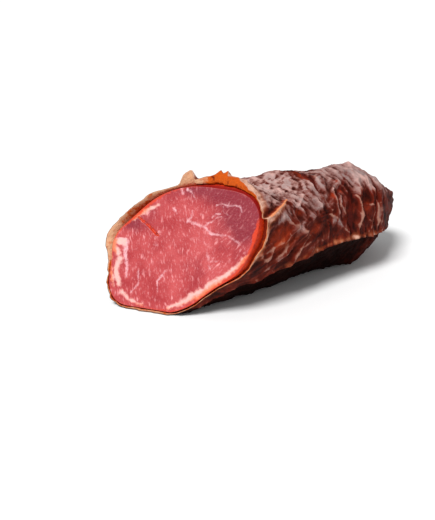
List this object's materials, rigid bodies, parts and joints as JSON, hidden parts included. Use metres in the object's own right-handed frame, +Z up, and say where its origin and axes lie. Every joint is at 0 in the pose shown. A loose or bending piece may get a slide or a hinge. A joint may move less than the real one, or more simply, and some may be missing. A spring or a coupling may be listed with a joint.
{
  "type": "cured pork loin",
  "caption": "Cut piece of cured pork loin on its side: marbled red meat with a slanting cut face, in a wrinkled dried casing torn and lifted at the cut.",
  "frame": {"origin": "on the flat spot that the loin rests on, at the middle of its length", "axes": "+X along the loin from the cut face to the closed end, +Y away from the viewer, +Z up"},
  "size_m": [0.186, 0.0696, 0.0734],
  "materials": {
    "meat": "moist cut cured meat, rose red with pale marbling",
    "casing": "dried translucent casing, red-brown and glossy below, dusted grey-white above"
  },
  "bodies": {
    "root": {"meat": "meat", "casing": "casing"}
  },
  "joints": []
}
